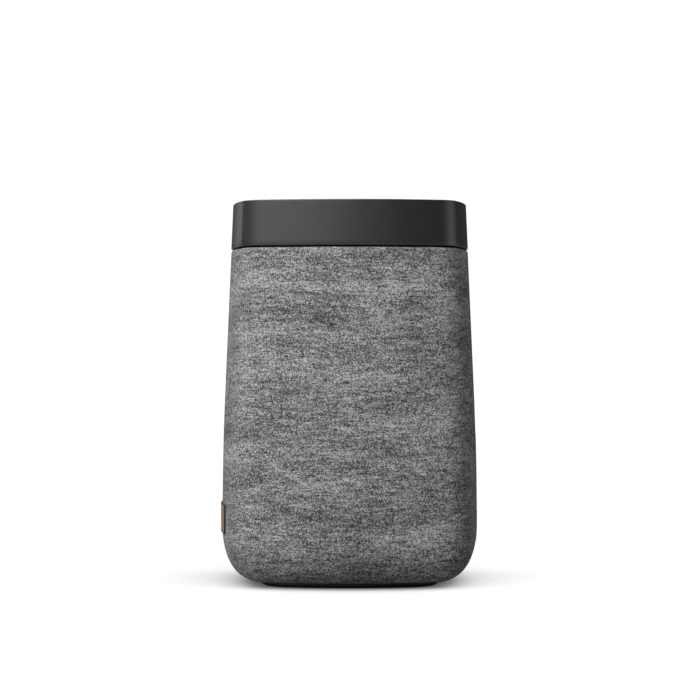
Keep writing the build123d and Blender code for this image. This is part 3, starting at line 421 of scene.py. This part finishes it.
# one finish for each material slot of the record
finishes = {
    "sleeve_fabric": fabric_material(),
    "label_leather": leather_material(),
    "cap_plastic": plastic_material("cap_plastic", (0.0125, 0.0125, 0.0127), 0.28, 0.006, 0.02),
    "panel_plastic": plastic_material("panel_plastic", (0.012, 0.012, 0.0125), 0.45),
    "button_plastic": plastic_material("button_plastic", (0.016, 0.016, 0.0165), 0.38),
    "black_plastic": plastic_material("black_plastic", (0.010, 0.010, 0.0105), 0.5),
    "white_lens": lens_material(),
    "foot_rubber": rubber_material("foot_rubber", (0.008, 0.008, 0.008)),
    "silicone": rubber_material("silicone", (0.30, 0.30, 0.31), 0.55),
    "soft_rubber": rubber_material("soft_rubber", (0.012, 0.012, 0.012), 0.6),
    "foam": rubber_material("foam", (0.03, 0.03, 0.03), 0.9),
    "cone_paper": woven_material("cone_paper", grey(0.018), grey(0.045), 0.3 * MM),
    "dome_silk": woven_material("dome_silk", (0.02, 0.02, 0.024), (0.05, 0.05, 0.058), 0.2 * MM),
    "spider_cloth": woven_material("spider_cloth", (0.36, 0.23, 0.06), (0.60, 0.42, 0.15), 0.5 * MM),
    "steel": metal_material("steel", (0.56, 0.56, 0.57), 0.35, (1.0, 1.0, 8.0)),
    "black_steel": plastic_material("black_paint", (0.014, 0.014, 0.014), 0.4, 0.03),
    "ferrite": rubber_material("ferrite", (0.05, 0.05, 0.055), 0.6),
    "copper_coil": metal_material("copper_coil", (0.78, 0.40, 0.20), 0.35, (1.0, 12.0, 1.0)),
    "aluminium": metal_material("aluminium", (0.72, 0.72, 0.73), 0.38, (1.0, 1.0, 10.0)),
    "circuit_board": plastic_material("circuit_board", (0.008, 0.075, 0.03), 0.35),
    "components": plastic_material("components", (0.03, 0.03, 0.032), 0.5),
    "cable_film": plastic_material("cable_film", (0.62, 0.62, 0.60), 0.35),
    "screw_steel": metal_material("screw_steel", (0.12, 0.12, 0.12), 0.35),
    "pin_metal": metal_material("pin_metal", (0.72, 0.70, 0.62), 0.22),
}


def dress_cad_nodes():
    """Gives every carried-over CAD node the finish of its material slot."""
    slots = {row["node"]: row["material_slot"] for row in frame["record"]["subparts"]}
    for name, node in frame["nodes"].items():
        node.data.materials.clear()
        node.data.materials.append(finishes[slots[name]])


# ---------------------------------------------------------------- pieces
def make_fabric():
    """The knitted sleeve: a thin tube turned in under the cap and under the heel."""
    thick = 0.9 * MM
    roll = 1.0 * MM                # radius of the turn under the cap
    hem = 3.4 * MM                 # how far the turn reaches in
    lower_hem = 1.2 * MM           # how far the cloth laps the foot
    under_half = BASE_HALF - lower_hem
    under_corner = 20 * MM - lower_hem
    roll_steps, rows, heel_steps, under_steps = 6, 56, 26, 4
    edge_half = half_width_at(FABRIC_TOP)

    def skin(inset):
        """(half, z, corner) from the upper hem down the outside to the lower hem."""
        top = FABRIC_TOP - inset
        path = [(edge_half - hem, top, None)]
        bend_at = (edge_half - roll, FABRIC_TOP - roll)
        bend = arc_points(bend_at, roll - inset, roll - inset, 90, 0, roll_steps)
        path += [(half, z, None) for half, z in bend]
        for n in range(1, rows):
            z = FABRIC_TOP - roll + (HEEL_TOP - FABRIC_TOP + roll) * n / rows
            path.append((half_width_at(z) - inset, z, None))
        last_half = WIDEST - HEEL_INSET
        heel = arc_points((last_half, HEEL_TOP), HEEL_INSET - inset, HEEL_DROP - inset, 0, -90, heel_steps)
        path += [(half, z, None) for half, z in heel]
        for n in range(1, under_steps + 1):
            share = n / under_steps
            corner = (last_half - CORNER_LESS) * (1 - share) + under_corner * share
            path.append((last_half + (under_half - last_half) * share, FABRIC_LOW + inset, corner))
        return path

    outer, inner = skin(0.0), skin(thick)
    piece = lofted("fabric_skin", outer + inner[::-1], close=True)
    lay_weave(piece, outer, inner)
    return piece


def lay_weave(piece, outer, inner):
    """Stores, in millimetres, where each point lies on the flat cloth: along the course and down the wale."""
    lengths = ring_lengths()
    around = len(lengths) - 1
    downs = []
    for path in (outer, inner):
        down = [0.0]
        for (half0, z0, _), (half1, z1, _) in zip(path, path[1:]):
            down.append(down[-1] + hypot(half1 - half0, z1 - z0))
        downs.append(down)
    rows = downs[0] + downs[1][::-1]
    mesh = piece.data
    layer = mesh.attributes.new("weave", "FLOAT_VECTOR", "CORNER")
    values = np.zeros((len(mesh.loops), 3), np.float32)
    for polygon in mesh.polygons:
        columns = [mesh.loops[n].vertex_index % around for n in polygon.loop_indices]
        wraps = max(columns) == around - 1 and min(columns) == 0
        for n, column in zip(polygon.loop_indices, columns):
            row = mesh.loops[n].vertex_index // around
            length = lengths[around] if wraps and column == 0 else lengths[column]
            values[n] = (length / MM, rows[row] / MM, 0.0)
    layer.data.foreach_set("vector", values.ravel())


def make_port_cutter():
    """A prism through the back of the sleeve, as wide as the rear strip and its gap."""
    gap = 0.1 * MM
    corner = 4.0 * MM + gap
    near, far = 30 * MM, 80 * MM   # from inside the body to behind it
    width = port_high.x - port_low.x + 2 * gap
    height = port_high.z - port_low.z + 2 * gap
    middle = (port_low.z + port_high.z) / 2
    points = rounded_rectangle(width, height, corner)
    count = len(points)
    vertices = [(x, near, middle + z) for x, z in points] + [(x, far, middle + z) for x, z in points]
    faces = [(n, (n + 1) % count, count + (n + 1) % count, count + n) for n in range(count)]
    faces += [tuple(reversed(range(count))), tuple(range(count, 2 * count))]
    cutter = new_object("port_cutter", vertices, faces, smooth=False)
    outward_normals(cutter)
    return cutter


def make_cap():
    """The cap: a tapered band with a rounded top edge, a ledge for the panel and a floor."""
    proud = 0.1 * MM               # how far the band stands out from the fabric
    edge = 0.55 * MM               # radius of the top edge, outside
    lip = 0.7 * MM                 # radius of the top edge, towards the panel
    foot_round = 0.3 * MM          # radius of the bottom edge, over the seam
    opening = 54.5 * MM            # half-width of the recess that holds the panel
    wall = 2.2 * MM
    ledge = 51.0 * MM              # half-width inside the ledge under the panel
    foot_steps, rows, edge_steps, lip_steps = 3, 8, 12, 6
    floor_top = CAP_BOTTOM + wall
    low_half = half_width_at(CAP_BOTTOM) + proud
    high_half = half_width_at(TOP - edge) + proud
    path = [(ledge, CAP_BOTTOM), (low_half - foot_round, CAP_BOTTOM)]
    foot_at = (low_half - foot_round, CAP_BOTTOM + foot_round)
    path += arc_points(foot_at, foot_round, foot_round, -60, 0, foot_steps)
    for n in range(1, rows):
        z = CAP_BOTTOM + foot_round + (TOP - edge - CAP_BOTTOM - foot_round) * n / rows
        path.append((half_width_at(z) + proud, z))
    path += arc_points((high_half - edge, TOP - edge), edge, edge, 0, 90, edge_steps)
    path += arc_points((opening + lip, TOP - lip), -lip, lip, 90, 0, lip_steps)
    path += [(opening, PANEL_UNDER), (ledge, PANEL_UNDER), (ledge, PANEL_UNDER - wall)]
    inner = low_half - wall - edge / 2
    path += [(inner, PANEL_UNDER - wall), (inner, floor_top), (ledge, floor_top)]
    cap = lofted("cap_band", [(half, z, None) for half, z in path])
    sharpen(cap, 50)
    return cap


def sharpen(piece, limit):
    """Keeps a smooth piece crisp along its edges that turn by more than the limit, in degrees."""
    piece.data.set_sharp_from_angle(angle=radians(limit))


def body_offset(x, z, out):
    """Y of the front face of the body at (x, z), standing out by some distance."""
    half = half_width_at(max(z, UPRIGHT_AT))
    if z < HEEL_TOP:
        half = WIDEST - HEEL_INSET + HEEL_INSET * sqrt(1 - ((HEEL_TOP - z) / HEEL_DROP) ** 2)
    bow = SIDE_CENTRE + half + out
    return SIDE_CENTRE - sqrt(bow**2 - x**2)


def make_label():
    """A leather tab glued round the front's bow: a flat face, a soft painted edge and square cut sides."""
    thick = 0.8 * MM
    soft = 0.25 * MM               # radius of the edge
    painted_border = 0.50 * MM     # width of the edge paint on the face
    corner = 2.4 * MM
    arc_steps, along = 10, 48      # mesh steps round a corner and along a long side
    width = label_high.x - label_low.x
    height = label_high.z - label_low.z
    middle_x = (label_low.x + label_high.x) / 2
    middle_z = (label_low.z + label_high.z) / 2
    levels = [(0.0, 0.0), (0.0, thick - soft)]
    for angle in (30, 60, 90):
        levels.append((soft * (1 - cos(radians(angle))), thick - soft + soft * sin(radians(angle))))
    levels.append((painted_border, thick))
    vertices, faces = [], []
    for inset, out in levels:
        ring = rounded_rectangle(width - 2 * inset, height - 2 * inset, corner - inset, arc_steps, along)
        for x, z in ring:
            place_x, place_z = middle_x + x, middle_z + z
            vertices.append((place_x, body_offset(place_x, place_z, out), place_z))
    count = len(vertices) // len(levels)
    for level in range(len(levels) - 1):
        for n in range(count):
            after = (n + 1) % count
            faces.append((level * count + n, level * count + after, (level + 1) * count + after,
                          (level + 1) * count + n))
    edge_faces = len(faces)
    for start in (0, (len(levels) - 1) * count):
        top = [start + arc_steps + n for n in range(along + 1)]
        bottom = [start + 3 * arc_steps + along + 2 + along - n for n in range(along + 1)]
        faces += [(top[n], top[n + 1], bottom[n + 1], bottom[n]) for n in range(along)]
        faces.append(tuple(range(start, top[0] + 1)) + tuple(range(bottom[0], start + count)))
        faces.append(tuple(range(top[-1], bottom[-1] + 1)))
    label = new_object("leather_tab", vertices, faces)
    label.data.materials.append(finishes["label_leather"])
    label.data.materials.append(rubber_material("edge_paint", (0.004, 0.004, 0.004), 0.85))
    for polygon in label.data.polygons:
        polygon.material_index = 1 if polygon.index < edge_faces else 0
    outward_normals(label)
    sharpen(label, 60)
    return label


# ---------------------------------------------------------------- icons on the top buttons
ICON_STROKE = 0.7                  # width of a mark's lines, in millimetres
BUTTON_RING = 20 * MM              # distance of the outer buttons' marks from the middle

icon_paint = plastic_material("icon_print", grey(0.42), 0.5)


def flat_icon(name, shapes, at, z):
    """Thin printed shapes, each an outline of points in millimetres, laid on a button's face."""
    thick = 0.03 * MM
    vertices, faces = [], []
    for shape in shapes:
        start, count = len(vertices), len(shape)
        for height in (z, z + thick):
            vertices += [(at[0] + x * MM, at[1] + y * MM, height) for x, y in shape]
        faces.append(tuple(start + n for n in reversed(range(count))))
        faces.append(tuple(start + count + n for n in range(count)))
        for n in range(count):
            after = (n + 1) % count
            faces.append((start + n, start + after, start + count + after, start + count + n))
    icon = new_object(name, vertices, faces, smooth=False)
    icon.data.materials.append(icon_paint)
    return icon


def bar(cx, cy, width, height):
    """An upright rectangle round a centre."""
    return [(cx + sx * width / 2, cy + sy * height / 2) for sx, sy in ((-1, -1), (1, -1), (1, 1), (-1, 1))]


def disc(radius):
    steps = 32
    return [(radius * cos(2 * pi * n / steps), radius * sin(2 * pi * n / steps)) for n in range(steps)]


def make_icons():
    """Play, plus, minus, a dot for the assistant and an arrow for the source, each riding on its button."""
    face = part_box("play_button")[1].z
    plus = [bar(0, 0, 4.4, ICON_STROKE), bar(0, 1.35, ICON_STROKE, 1.7), bar(0, -1.35, ICON_STROKE, 1.7)]
    minus = [bar(0, 0, 4.4, ICON_STROKE)]
    triangle = [[(-2.0, -2.6), (2.6, 0.0), (-2.0, 2.6)]]
    arrow = [bar(-0.9, -0.2, 3.0, ICON_STROKE), [(0.6, -1.5), (2.4, -0.2), (0.6, 1.1)]]
    plans = {
        "play": ("play_icon", triangle, (0, 0)),
        "volume_up": ("plus_icon", plus, (BUTTON_RING, 0)),
        "volume_down": ("minus_icon", minus, (-BUTTON_RING, 0)),
        "assistant": ("assistant_icon", [disc(1.5)], (0, BUTTON_RING)),
        "source": ("source_icon", arrow, (0, -BUTTON_RING)),
    }
    for body, (name, shapes, at) in plans.items():
        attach(flat_icon(name, shapes, at, face), body)


# ---------------------------------------------------------------- studio
FLOOR_HALF = 3.0                   # half-width of the floor, in metres

# the near light and the camera, in metres, watts and the camera's own millimetres
NEAR_BOX_AT = (0.62, -0.18, 0.72)
NEAR_BOX_TARGET = (0, 0, 0.12)
NEAR_BOX_SIZE = 0.5
NEAR_BOX_POWER = 6.8
CAMERA_AT = (1.228, 0.0002, 0.1186)
CAMERA_LENS = 122.2
SENSOR_WIDTH = 36.0


def make_floor():
    corners = [(x * FLOOR_HALF, y * FLOOR_HALF, 0) for x, y in ((-1, -1), (1, -1), (1, 1), (-1, 1))]
    floor = new_object("floor", corners, [(0, 1, 2, 3)])
    floor.data.materials.append(floor_material())


def make_near_box():
    """A square soft box, high on the camera's side."""
    data = bpy.data.lights.new("near_box", "AREA")
    data.shape = "SQUARE"
    data.size = NEAR_BOX_SIZE
    data.energy = NEAR_BOX_POWER
    light = bpy.data.objects.new("near_box", data)
    light.location = NEAR_BOX_AT
    aim = Vector(NEAR_BOX_TARGET) - Vector(NEAR_BOX_AT)
    light.rotation_euler = aim.to_track_quat("-Z", "Y").to_euler()
    bpy.context.scene.collection.objects.link(light)


def towards(azimuth, elevation):
    """A unit direction: azimuth in degrees from +X towards the front, -Y, and elevation from level."""
    level = cos(radians(elevation))
    return (cos(radians(azimuth)) * level, -sin(radians(azimuth)) * level, sin(radians(elevation)))


# soft sources of the surround: direction, how tightly the light is gathered, strength, and how
# strongly it is held to a level band (none at all for 0)
SOFT_SOURCES = [
    (towards(38, 18), 4.5, 2.05, 0.0),      # large soft box, front left
    (towards(-90, 4), 9.0, 1.65, 32.0),     # low wide strip, far right
    (towards(150, 5), 260.0, 0.8, 0.0),     # edge light, behind on the left
    (towards(108, 58), 6.0, 3.8, 0.0),      # overhead, leaning to the left
    (towards(178, 60), 9.0, 3.2, 0.0),      # high fill, behind
]
SURROUND = 0.05                    # brightness between the soft sources
BACKDROP = 1.05                    # brightness of the backdrop as the camera sees it


def make_world():
    """A plain white backdrop, and the soft sources that light the speaker."""
    world = bpy.data.worlds.new("studio")
    bpy.context.scene.world = world
    world.use_nodes = True
    tree = world.node_tree
    tree.nodes.clear()

    def add(kind, *inputs, **settings):
        node = tree.nodes.new(kind)
        for key, value in settings.items():
            setattr(node, key, value)
        for place, value in enumerate(inputs):
            if isinstance(value, bpy.types.NodeSocket):
                tree.links.new(value, node.inputs[place])
            else:
                node.inputs[place].default_value = value
        return node

    direction = add("ShaderNodeTexCoord").outputs["Generated"]
    total = SURROUND
    height = add("ShaderNodeSeparateXYZ", direction).outputs[2]
    level = add("ShaderNodeMath", height, height, operation="MULTIPLY").outputs[0]
    level = add("ShaderNodeMath", 1.0, level, operation="SUBTRACT").outputs[0]
    for place, gathered, strength, flatness in SOFT_SOURCES:
        facing = add("ShaderNodeVectorMath", direction, place, operation="DOT_PRODUCT").outputs["Value"]
        facing = add("ShaderNodeMath", facing, 0.0, operation="MAXIMUM").outputs[0]
        lobe = add("ShaderNodeMath", facing, gathered, operation="POWER").outputs[0]
        if flatness:
            band = add("ShaderNodeMath", level, flatness, operation="POWER").outputs[0]
            lobe = add("ShaderNodeMath", lobe, band, operation="MULTIPLY").outputs[0]
        total = add("ShaderNodeMath", lobe, strength, total, operation="MULTIPLY_ADD").outputs[0]
    light = add("ShaderNodeBackground", (1, 1, 1, 1), total)
    seen = add("ShaderNodeBackground", (1, 1, 1, 1), BACKDROP)
    camera_ray = add("ShaderNodeLightPath").outputs["Is Camera Ray"]
    mix = add("ShaderNodeMixShader", camera_ray, light.outputs[0], seen.outputs[0])
    add("ShaderNodeOutputWorld", mix.outputs[0])


def make_camera():
    """A long lens on the +X side, level, a little above the middle of the speaker."""
    data = bpy.data.cameras.new("camera")
    data.lens = CAMERA_LENS
    data.sensor_width = SENSOR_WIDTH
    camera = bpy.data.objects.new("camera", data)
    camera.location = CAMERA_AT
    camera.rotation_euler = (radians(90), 0, radians(90))
    bpy.context.scene.collection.objects.link(camera)
    bpy.context.scene.camera = camera


def make_studio():
    make_floor()
    make_world()
    make_near_box()
    make_camera()
    view = bpy.context.scene.view_settings
    view.view_transform = "Standard"
    view.look = "None"


# ---------------------------------------------------------------- assembly
dress_cad_nodes()

fabric = make_fabric()
cut_away(fabric, make_port_cutter())
fabric.data.materials.clear()
fabric.data.materials.append(finishes["sleeve_fabric"])
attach(fabric, "case")
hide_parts("fabric_sleeve")

cap = make_cap()
cap.data.materials.append(finishes["cap_plastic"])
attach(cap, "case")
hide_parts("cap_shell")

label = make_label()
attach(label, "case")
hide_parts("leather_label")

make_icons()
make_studio()
